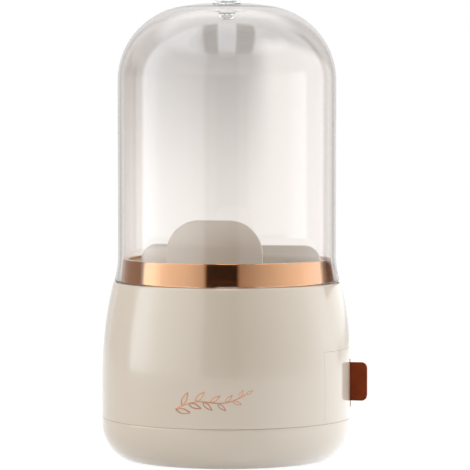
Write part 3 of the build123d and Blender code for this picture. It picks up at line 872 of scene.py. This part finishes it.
cupSection = rounded([
    (0, cupLow.z), (cupHigh.x, cupLow.z, cup["footEdge"]), (cupHigh.x, cupHigh.z, cup["edge"]),
    (cupInner, cupHigh.z, cup["edge"]), (cupInner, cupFloor, cup["floorEdge"]), (0, cupFloor),
])
longSide = cup["keeperWidth"] + cup["wall"]
crossWays = [spot for node in ("front_panel", "cross_panel")
             for spot in keeperPlaces(panelPlane(node), (-1, 1))]
lengthWays = [(across, along) for along, across in keeperPlaces(0, (1,))]  # at one end only
innerCup = joined("divided_cup", [
    turned("cup_wall", spaced(cupSection, cup["rowGap"]), finishes["inner"]),
    keepers(crossWays, longSide, cup["keeperThick"]),
    keepers(lengthWays, cup["keeperThick"], longSide),
])
placed(innerCup, "body", "inner_plastic", "organiser_cup")
for node, name in {
    "front_panel": "arched_panel", "cell_panels": "short_panels", "middle_panel": "long_panel",
    "cross_panel": "rear_panel",
}.items():
    placed(dressed(node, name, finishes["inner"], cup["panelEdge"]), "body", "inner_plastic", node)
print("organiser made")


# Drawer: a piece of the body's side, the tray behind it and the leather pull

front = dict(
    thick=2.4, slotHalf=1.5, slotLow=32.1, slotHigh=61.1, gap=2.2, edge=0.05, edgeSteps=3,
    postRadius=3.5, postBore=6.2, postY=22, postZ=12, lugHalf=3.2, lugHeight=3, lugBehind=2.4,
    lugEdge=0.3, trayEdge=0.4,
)
trayEnd = nodeBox("drawer_tray")[1].x
pinLow, pinHigh = nodeBox("tab_pin")
pinX = (pinLow.x + pinHigh.x) / 2


def drawerPlate():
    across = heights(-frontHigh.y, -front["slotHalf"], front["gap"])
    across += [-y for y in reversed(across)]
    levels = (frontLow.z, front["slotLow"], front["slotHigh"], frontHigh.z)
    up = [frontLow.z]
    for low, high in zip(levels, levels[1:]):
        up += heights(low, high, front["gap"])[1:]
    points = [
        (sqrt(sideRadius(z, inset) ** 2 - y**2), y, z)
        for inset in (0, front["thick"]) for z in up for y in across
    ]
    wide, tall = len(across), len(up)

    def filled(i, j):  # whether a cell of the grid is plate
        if not (0 <= i < wide - 1 and 0 <= j < tall - 1):
            return False
        inSlot = abs(across[i] + across[i + 1]) < sameSpot
        return not (inSlot and front["slotLow"] - sameSpot < up[j] < front["slotHigh"] - sameSpot)

    faces = []
    back = wide * tall
    for j in range(tall):
        for i in range(wide):
            at = j * wide + i
            if filled(i, j):
                faces.append((at, at + 1, at + wide + 1, at + wide))
                faces.append((back + at, back + at + wide, back + at + wide + 1, back + at + 1))
            if j < tall - 1 and filled(i - 1, j) != filled(i, j):
                faces.append((at, at + wide, back + at + wide, back + at))
            if i < wide - 1 and filled(i, j - 1) != filled(i, j):
                faces.append((at, at + 1, back + at + 1, back + at))
    plate = meshPiece("front_plate", points, faces, finishes["shell"])
    return weighed(eased(plate, front["edge"], front["edgeSteps"], body["baySharp"]))


def drawerBacks():  # four posts to the tray and two lugs for the pin
    middle = (frontLow.z + frontHigh.z) / 2
    backs = []
    for y in (-front["postY"], front["postY"]):
        for z in (middle - front["postZ"], middle + front["postZ"]):
            reach = sqrt(sideRadius(z, front["thick"] / 2) ** 2 - y**2) - trayEnd
            piece = post(front["postRadius"], front["postBore"], reach)
            for vertex in piece.data.vertices:  # laid down along X
                a, b, c = vertex.co / mm
                vertex.co = Vector((trayEnd + c, y + b, z - a)) * mm
            backs.append(outward(piece))
    near, tall = pinX - front["lugBehind"], front["lugHeight"]
    for low in (front["slotLow"] - tall, front["slotHigh"]):
        far = sideRadius(low, front["thick"] / 2)
        lug = block("lug", (far - near, 2 * front["lugHalf"], tall), finishes["shell"])
        lug.data.transform(Matrix.Translation(Vector((far + near, 0, 2 * low + tall)) * mm / 2))
        backs.append(eased(lug, front["lugEdge"]))
    return backs


plate = joined("drawer_face", [drawerPlate(), *drawerBacks()])
placed(plate, "drawer", "shell_plastic", "drawer_front")
tray = dressed("drawer_tray", "drawer_box", finishes["inner"], front["trayEdge"])
placed(tray, "drawer", "inner_plastic", "drawer_tray")

pull = dict(
    thick=1.12, gap=0.12, corner=3.3, crease=1.35, creaseWidth=0.35, creaseDepth=0.16,
    creaseShare=0.7, edge=0.4, backEdge=0.2, frontRow=1.4, backRow=2, endRow=0.42, endSteps=30,
    lastRow=0.3, bendLength=2.2, bendEnd=(0.5, 0.866), bendSlopes=((-1.6, 0), (-1.4, 0.9)),
    bendSteps=6, loopStart=68, loopSteps=9, thinEnd=0.45, edgeLean=0.8,
)
pullLow, pullHigh = nodeBox("pull_tab")
pullMiddle, pullHalf = (pullLow.z + pullHigh.z) / 2, (pullHigh.z - pullLow.z) / 2
layer = (pull["thick"] + pull["gap"]) / 2  # the middle of each of the two layers


def sweepTree():  # a strap: its section swept along the path it folds on
    given = geometryTree("sweepStrap", {"Section": "Object"})
    section = geo("ObjectInfo", {"Object": given["Section"]})["Geometry"]
    profile = geo("MeshToCurve", {"Mesh": section})
    path = geo("MeshToCurve", {"Mesh": given["Geometry"]})
    level = geo("SetCurveNormal", {"Curve": path}, mode="Z_UP")
    skin = geo("CurveToMesh", {"Curve": level, "Profile Curve": profile, "Fill Caps": True})
    return closeTree(skin, given)


def strapSection():  # across the strap: width along Z, with a crease near each edge
    face = pull["thick"] / 2
    crease, wide, deep = pullHalf - pull["crease"], pull["creaseWidth"], pull["creaseDepth"]
    slope = face - deep * pull["creaseShare"]
    outline = [(face, -pullHalf, pull["edge"])]
    for at in (-crease, crease):
        outline += [
            (face, at - wide), (slope, at - wide / 3), (face - deep, at), (slope, at + wide / 3),
            (face, at + wide),
        ]
        if at < 0:
            outline += [(face, z) for z in heights(at, crease, pull["frontRow"])[1:-1]]
    outline += [(face, pullHalf, pull["edge"]), (-face, pullHalf, pull["backEdge"])]
    outline += [(-face, -z) for z in heights(-crease, crease, pull["backRow"])]
    outline.append((-face, -pullHalf, pull["backEdge"]))
    return [(x, z, 0) for x, z in rounded(outline, closed=True)]


def strapPath():  # out along one side, round the pin and back
    loop = pullHigh.y - pull["thick"] / 2
    meet = pinX + loop + pull["bendLength"]
    rows = [pullHigh.x - pull["endRow"] * k for k in range(pull["endSteps"])]
    straight = [(x, layer) for x in rows if x > meet + pull["lastRow"]] + [(meet, layer)]
    end = (pinX + loop * pull["bendEnd"][0], loop * pull["bendEnd"][1])
    bend = easedDip(straight[-1], end, pull["bendSlopes"], pull["bendSteps"])
    turn = arcPoints((pinX, 0), loop, pull["loopStart"], 180, pull["loopSteps"])[1:]
    half = straight + bend + turn
    return [(x, y, pullMiddle) for x, y in half + [(x, -y) for x, y in reversed(half[:-1])]]


def leatherPull():
    section = polyline("strap_section", strapSection(), True)
    values = {"Section": section, "Material": finishes["leather"]}
    strap = grown(polyline("leather_pull", strapPath()), sweepTree(), values)
    bpy.data.objects.remove(section)
    corner, edge, thin = pull["corner"], pull["edge"], pull["thinEnd"]
    for vertex in strap.data.vertices:  # rounds the far corners and the end's edge
        x, y, z = vertex.co / mm
        left = pullHigh.x - x
        if left < corner:
            spare = corner - sqrt(max(0, corner**2 - (corner - left) ** 2))
            z = pullMiddle + (z - pullMiddle) * (pullHalf - spare) / pullHalf
        if left < edge:
            share = thin + (1 - thin) * sqrt(max(0, 1 - (1 - left / edge) ** 2))
            y = (1 if y > 0 else -1) * (layer + (abs(y) - layer) * share)
        vertex.co = Vector((x, y, z)) * mm
    outward(strap)
    strap.data.materials.append(finishes["paintedEdge"])
    for face in strap.data.polygons:
        if abs(face.normal.y) < pull["edgeLean"] and face.center.x > bodyRadius * mm:
            face.material_index = 1
    return strap


placed(leatherPull(), "drawer", "pull_leather", "pull_tab")
print("drawer made")


# Foil sprig stamped on the front, a plain leaf ornament

sprig = dict(
    turn=-85.65, middle=41.2, length=42, rise=9, sway=2.2, stemSteps=24, stemPoints=90,
    stroke=0.75, taper=(1.15, 0.75), leafCount=11, lastLeaf=0.999, leafLength=8.2, leafWidth=2.7,
    leafTurn=38, leafStart=0.8, leafBelly=0.8, leafSteps=16, leafScale=(1.05, 0.5), proud=0.05,
    sunk=0.05,
)


def sprigTree():
    # a stem with leaves on both sides, drawn flat and then wrapped on the body's side
    given = geometryTree("foilSprig", {"Leaf": "Object"})
    count, thick = sprig["leafCount"], sprig["proud"] + sprig["sunk"]
    lean, radius = body["leanRadius"] * mm, bodyRadius * mm
    stem = geo("MeshToCurve", {"Mesh": given["Geometry"]})
    bent = geo("ResampleCurve", {"Curve": stem, "Count": sprig["stemPoints"]}, mode="COUNT")
    taper = sprig["taper"][0] - geo("SplineParameter") * sprig["taper"][1]
    wide = geo("SetCurveRadius", {"Curve": bent, "Radius": taper})
    strip = {"Width": sprig["stroke"] * mm, "Height": thick * mm}
    ribbon = geo("CurvePrimitiveQuadrilateral", strip, mode="RECTANGLE")
    stemSkin = geo("CurveToMesh", {"Curve": wide, "Profile Curve": ribbon, "Fill Caps": True})
    places = geo("CurveToPoints", {"Curve": bent, "Count": count}, mode="COUNT")
    number = geo("InputIndex")
    side, share = step("MODULO", number, 2) * 2 - 1, number / (count - 1)
    size = sprig["leafScale"][0] - share * sprig["leafScale"][1]
    last = step("GREATER_THAN", share, sprig["lastLeaf"])  # the leaf that goes straight on
    spin = shader("CombineXYZ", {"Z": side * (1 - last) * radians(sprig["leafTurn"])})
    aim = add("FunctionNodeAlignEulerToVector", {"Vector": places["Tangent"]}, axis="X")
    leafWay = add("FunctionNodeRotateEuler", {"Rotation": aim, "Rotate By": spin}, space="OBJECT")
    leaf = geo("ObjectInfo", {"Object": given["Leaf"]})["Geometry"]
    leafCurve = geo("MeshToCurve", {"Mesh": leaf})
    leafSkin = geo("CurveToMesh", {"Curve": leafCurve, "Profile Curve": ribbon})
    copies = {"Points": places, "Instance": leafSkin, "Rotation": leafWay, "Scale": size}
    leaves = geo("InstanceOnPoints", copies)
    both = geo("JoinGeometry")
    for part in (leaves, stemSkin):
        building["tree"].links.new(part.socket, both.socket.node.inputs[0])
    flat = geo("RealizeInstances", {"Geometry": both})
    x, y, z = parts(geo("InputPosition"))
    over = step("MAXIMUM", y - leanStart * mm, 0)
    drop = lean - step("SQRT", step("MULTIPLY", lean, lean) - over * over)
    reach, angle = radius - drop + z, radians(sprig["turn"]) + x / radius
    around = {"X": reach * step("COSINE", angle), "Y": reach * step("SINE", angle), "Z": y}
    wrapped = shader("CombineXYZ", around)
    return closeTree(geo("SetPosition", {"Geometry": flat, "Position": wrapped}), given)


def foilSprig():
    length, rise, steps = sprig["length"], sprig["rise"], sprig["leafSteps"]
    start, lift = sprig["middle"] - rise / 2, (sprig["proud"] - sprig["sunk"]) / 2
    stem = []
    for k in range(sprig["stemSteps"] + 1):
        t = k / sprig["stemSteps"]
        stem.append(((t - 0.5) * length, start + rise * t + sprig["sway"] * sin(2 * pi * t), lift))
    outline = []
    for side in (1, -1):
        for k in range(steps + 1):
            t = k / steps if side > 0 else 1 - k / steps
            bulge = sin(pi * t ** sprig["leafBelly"]) * sprig["leafWidth"] / 2
            outline.append((sprig["leafStart"] + t * sprig["leafLength"], side * bulge, 0))
    leaf = polyline("leaf_outline", outline[:-1], True)
    values = {"Leaf": leaf, "Material": finishes["foil"]}
    made = grown(polyline("foil_sprig", stem), sprigTree(), values)
    bpy.data.objects.remove(leaf)
    return outward(made)


stamp = foilSprig()
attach(stamp, "body")
print("sprig made:", len(stamp.data.polygons), "faces")


# Pieces that keep their CAD shape

keptNodes = {
    "inner": ("body_floor", "deck_frame"),
    "race": ("lower_race", "upper_race", "ball_cage"),
    "screw": ("lower_race_screws", "upper_race_screws", "floor_screws", "deck_screws", "front_screws",
              "pivot_pin", "retaining_washer", "retaining_screw", "tab_pin"),
    "ball": ("bearing_balls",),
}
for key, names in keptNodes.items():
    for name in names:
        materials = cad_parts[name].data.materials
        materials.clear()
        materials.append(finishes[key])
print("inner pieces finished")


# Studio

studio = dict(
    cameraTurn=-78, cameraReach=1718, cameraHeight=221.4, lookSide=4.84,
    lookHeight=134.9, lens=217.5, sensor=36, floorSize=40000, floorColour=0.8,
    floorLight=1.25, floorShare=0.75, nearFloor=(700, 1700), behindDome=(1.06, 0.56),
    behindRise=(-0.05, 0.03), behindRight=(0.012, 0.03), rightShare=0.8,
    rightEnd=(0.035, 0.06), fill=(1, 0.93, 0.845), fillStrength=0.475, fillFront=0.2,
    room=[  # what mirrors show, by the turn from the camera's side, positive to the right
        (-180, 0.9), (-162, 0.85), (-154, 0.6), (-148, 0.8), (-143, 0.75), (-138, 0.5), (-126, 0.4),
        (-103, 0.4), (-98, 2.5), (-84, 2.3), (-72, 1.6), (-42, 1.2), (-26, 0.9), (-21, 0.05),
        (10, 0.04), (14, 0.52), (31, 0.75), (60, 1.2), (87, 1.6), (98, 1.8), (121, 1.8), (125, 0.45),
        (129, 0.5), (134, 0.95), (139, 0.95), (144, 0.75), (154, 0.65), (162, 0.9), (180, 0.9),
    ],
    dimTint=(1.2, 0.82, 0.64), plainAt=0.75, brightTint=(0.96, 1.02, 1.1), brightAt=2.4,
    wallTop=(0.55, 0.78), table=(1.28, 0.75),
    ceiling=[  # across tilted panels overhead: a bright strip between dark gaps
        (-2, 0.9), (-1.3, 1), (-0.95, 1.9), (-0.7, 2.8), (-0.34, 3), (-0.26, 2.2),
        (-0.22, 0.1), (-0.1, 0.1), (-0.08, 2.6), (0.08, 2.6), (0.1, 0.1), (0.27, 0.1), (0.3, 2.4),
        (0.55, 2.1), (0.75, 2.8), (2, 3),
    ],
    ceilingTilt=1.2, ceilingEnd=(-0.16, -0.1), pastCeiling=1.8, leastReach=0.1,
)
sideLamp = dict(reach=1000, height=420, size=(400, 1000))
lamps = {  # turned from the camera's side, positive to the right
    "left": dict(sideLamp, turn=-78, power=4.5),
    "right": dict(sideLamp, turn=95, power=5.4),
    "top": dict(turn=0, reach=250, height=1250, size=(700, 700), power=2),
}
lampColour, lampAim = (0.93, 0.97, 1), 130
card = dict(  # stands where the body's right edge mirrors it, with a dark flag from the ring up
    turn=139, reach=100, side=71, ahead=26, span=(-50, 85), height=(20, 150), rise=(-0.03, 0.01),
    light=1.6, colour=(0.98, 1, 1.02), flag=(116, 119), flagLight=0.13,
    flagColour=(1.25, 0.8, 0.6), flagTurn=(0.62, 0.68),
)
plainWhite = (1, 1, 1)
forward = Vector((cos(radians(studio["cameraTurn"])), sin(radians(studio["cameraTurn"])), 0))
rightward = Vector((-forward.y, forward.x, 0))


def wayAt(turn):  # turned from the camera's side, positive to the right
    return forward * cos(turn) + rightward * sin(turn)


def aimed(thing, spot, target):
    thing.location = spot
    thing.rotation_euler = (target - thing.location).to_track_quat("-Z", "Y").to_euler()


def hidden(thing, *kinds):  # from these kinds of rays
    for kind in kinds:
        setattr(thing, f"visible_{kind}", False)


def makeCamera():
    camera = newObject("camera", bpy.data.cameras.new("camera"))
    camera.data.lens = studio["lens"]
    camera.data.sensor_width = studio["sensor"]
    spot = (forward * studio["cameraReach"] + Vector((0, 0, studio["cameraHeight"]))) * mm
    aimed(camera, spot, (rightward * studio["lookSide"] + Vector((0, 0, studio["lookHeight"]))) * mm)
    bpy.context.scene.camera = camera


def makeLamps():
    for name, lamp in lamps.items():
        data = bpy.data.lights.new(name, "AREA")
        data.shape = "RECTANGLE"
        data.size, data.size_y = (side * mm for side in lamp["size"])
        data.energy = lamp["power"]
        data.color = lampColour
        thing = newObject(name, data)
        spot = (wayAt(radians(lamp["turn"])) * lamp["reach"] + Vector((0, 0, lamp["height"]))) * mm
        aimed(thing, spot, Vector((0, 0, lampAim * mm)))
        hidden(thing, "transmission", "glossy", "camera")  # mirrors show the room instead


def makeCard():  # seen only by mirrored rays that go up, and dark to those that cross the dome
    material = newMaterial("cardLight")
    mirrored, through = firstRays()[1:]
    hit = shader("NewGeometry")
    aside = smooth(turnedBy(hit["Incoming"])[0], card["flagTurn"])
    rising = smooth(0 - parts(hit["Incoming"])[2], card["rise"])
    flag = step("MAXIMUM", smooth(parts(hit["Position"])[2] / mm, card["flag"]), through)
    glow = shader("Emission", {
        "Color": shades(flag, card["colour"], card["flagColour"]),
        "Strength": card["light"] + flag * (card["flagLight"] - card["light"]),
    })
    shown = rising * mirrored * (1 - through * (1 - aside))
    shader("OutputMaterial", {"Surface": mixed(shown, shader("BsdfTransparent"), glow)})
    turn = radians(card["turn"])
    along = rightward * cos(turn) - forward * sin(turn)
    start = wayAt(turn) * card["reach"] + rightward * card["side"] + forward * card["ahead"]
    ends = [start + along * reach for reach in card["span"]]
    points = [(spot.x, spot.y, z) for z in card["height"] for spot in ends]
    thing = meshPiece("card", points, [(0, 1, 3, 2)], material)
    hidden(thing, "camera", "diffuse", "volume_scatter", "shadow")


def turnedBy(ray):  # a ray's parts towards the camera and to its right
    return [
        shader("VectorMath", {0: ray, 1: way}, operation="DOT_PRODUCT")["Value"]
        for way in (forward, rightward)
    ]


def brightness(factor, stops, low, high):  # at places from low to high
    peak = max(bright for place, bright in stops)
    scaled = [((place - low) / (high - low), bright / peak) for place, bright in stops]
    return ramp(factor, scaled) * peak


def roomLight(ray):  # how bright the room is where a mirrored ray goes
    ahead, aside = turnedBy(ray)
    up = parts(ray)[2]
    around = step("ARCTAN2", aside, ahead) / (2 * pi) + 0.5
    walls = brightness(around, studio["room"], -180, 180)
    reach = step("MAXIMUM", ahead + up * studio["ceilingTilt"], studio["leastReach"])
    panels = brightness(aside / reach / 4 + 0.5, studio["ceiling"], -2, 2)
    overhead = smooth(ahead / step("MAXIMUM", up, studio["leastReach"]), studio["ceilingEnd"])
    ceiling = studio["pastCeiling"] + overhead * (panels - studio["pastCeiling"])
    return walls + smooth(up, studio["wallTop"]) * (ceiling - walls)


def firstRays():
    # which rays come from the camera, straight, mirrored or through a clear piece
    path = shader("LightPath")
    seen = path["Is Camera Ray"] + path["Is Glossy Ray"] + path["Is Transmission Ray"]
    direct = step("LESS_THAN", path["Diffuse Depth"], 0.5)
    mirrored = step("GREATER_THAN", path["Glossy Depth"], 0.5)
    through = step("GREATER_THAN", path["Transmission Depth"], 0.5)
    return step("MINIMUM", seen, 1) * direct, mirrored, through


def shownGlow(kind, white, ray, mirrored, through, room):
    low, high = studio["behindDome"]
    up = parts(ray)[2]
    rise = smooth(up, studio["behindRise"])
    right = smooth(turnedBy(ray)[1], studio["behindRight"]) * studio["rightShare"]
    right = right * (1 - smooth(up, studio["rightEnd"]))
    behind = low + rise * (1 - right) * (high - low)
    plain = white + through * (behind - white)
    # mirrors show the dim parts of the room warmer
    warm = shades(room / studio["plainAt"], studio["dimTint"], plainWhite)
    tint = shades((room - 1) / (studio["brightAt"] - 1), warm, studio["brightTint"])
    colour = shades(mirrored, plainWhite, tint)
    return shader(kind, {"Color": colour, "Strength": plain + mirrored * (room - plain)})


def makeFloor():
    half = studio["floorSize"] / 2
    mesh = newMesh("floor", [(x * half, y * half, 0) for x, y in square], [], [(0, 1, 2, 3)])
    material = newMaterial("paleFloor")
    seen, mirrored, through = firstRays()
    hit = shader("NewGeometry")
    ray = shader("VectorMath", {0: hit["Incoming"], "Scale": -1}, operation="SCALE")
    reach = shader("VectorMath", {0: hit["Position"]}, operation="LENGTH")["Value"]
    away = smooth(reach / mm, studio["nearFloor"])
    middle, side = studio["table"]
    table = middle + turnedBy(ray)[1] * side
    room = table + away * (roomLight(ray) - table)
    glow = shownGlow("Emission", studio["floorLight"], ray, mirrored, through, room)
    matt = shader("BsdfDiffuse", {"Color": (studio["floorColour"],) * 3})
    apart = step("MAXIMUM", mirrored, through)
    share = seen * (studio["floorShare"] + apart * (1 - studio["floorShare"]))
    shader("OutputMaterial", {"Surface": mixed(share, matt, glow)})
    mesh.materials.append(material)
    newObject("floor", mesh)


def makeWorld():
    bpy.context.scene.world = clearedTree(bpy.data.worlds.new("studio"))
    seen, mirrored, through = firstRays()
    ray = shader("TexCoord")
    shown = shownGlow("Background", 1, ray, mirrored, through, roomLight(ray))
    glow = (1 + turnedBy(ray)[0] * studio["fillFront"]) * studio["fillStrength"]
    fill = shader("Background", {"Color": studio["fill"], "Strength": glow})
    add("ShaderNodeOutputWorld", {"Surface": mixed(seen, fill, shown)})


makeCamera()
makeLamps()
makeCard()
makeFloor()
makeWorld()
bpy.context.scene.view_settings.view_transform = "Standard"
print("studio made")
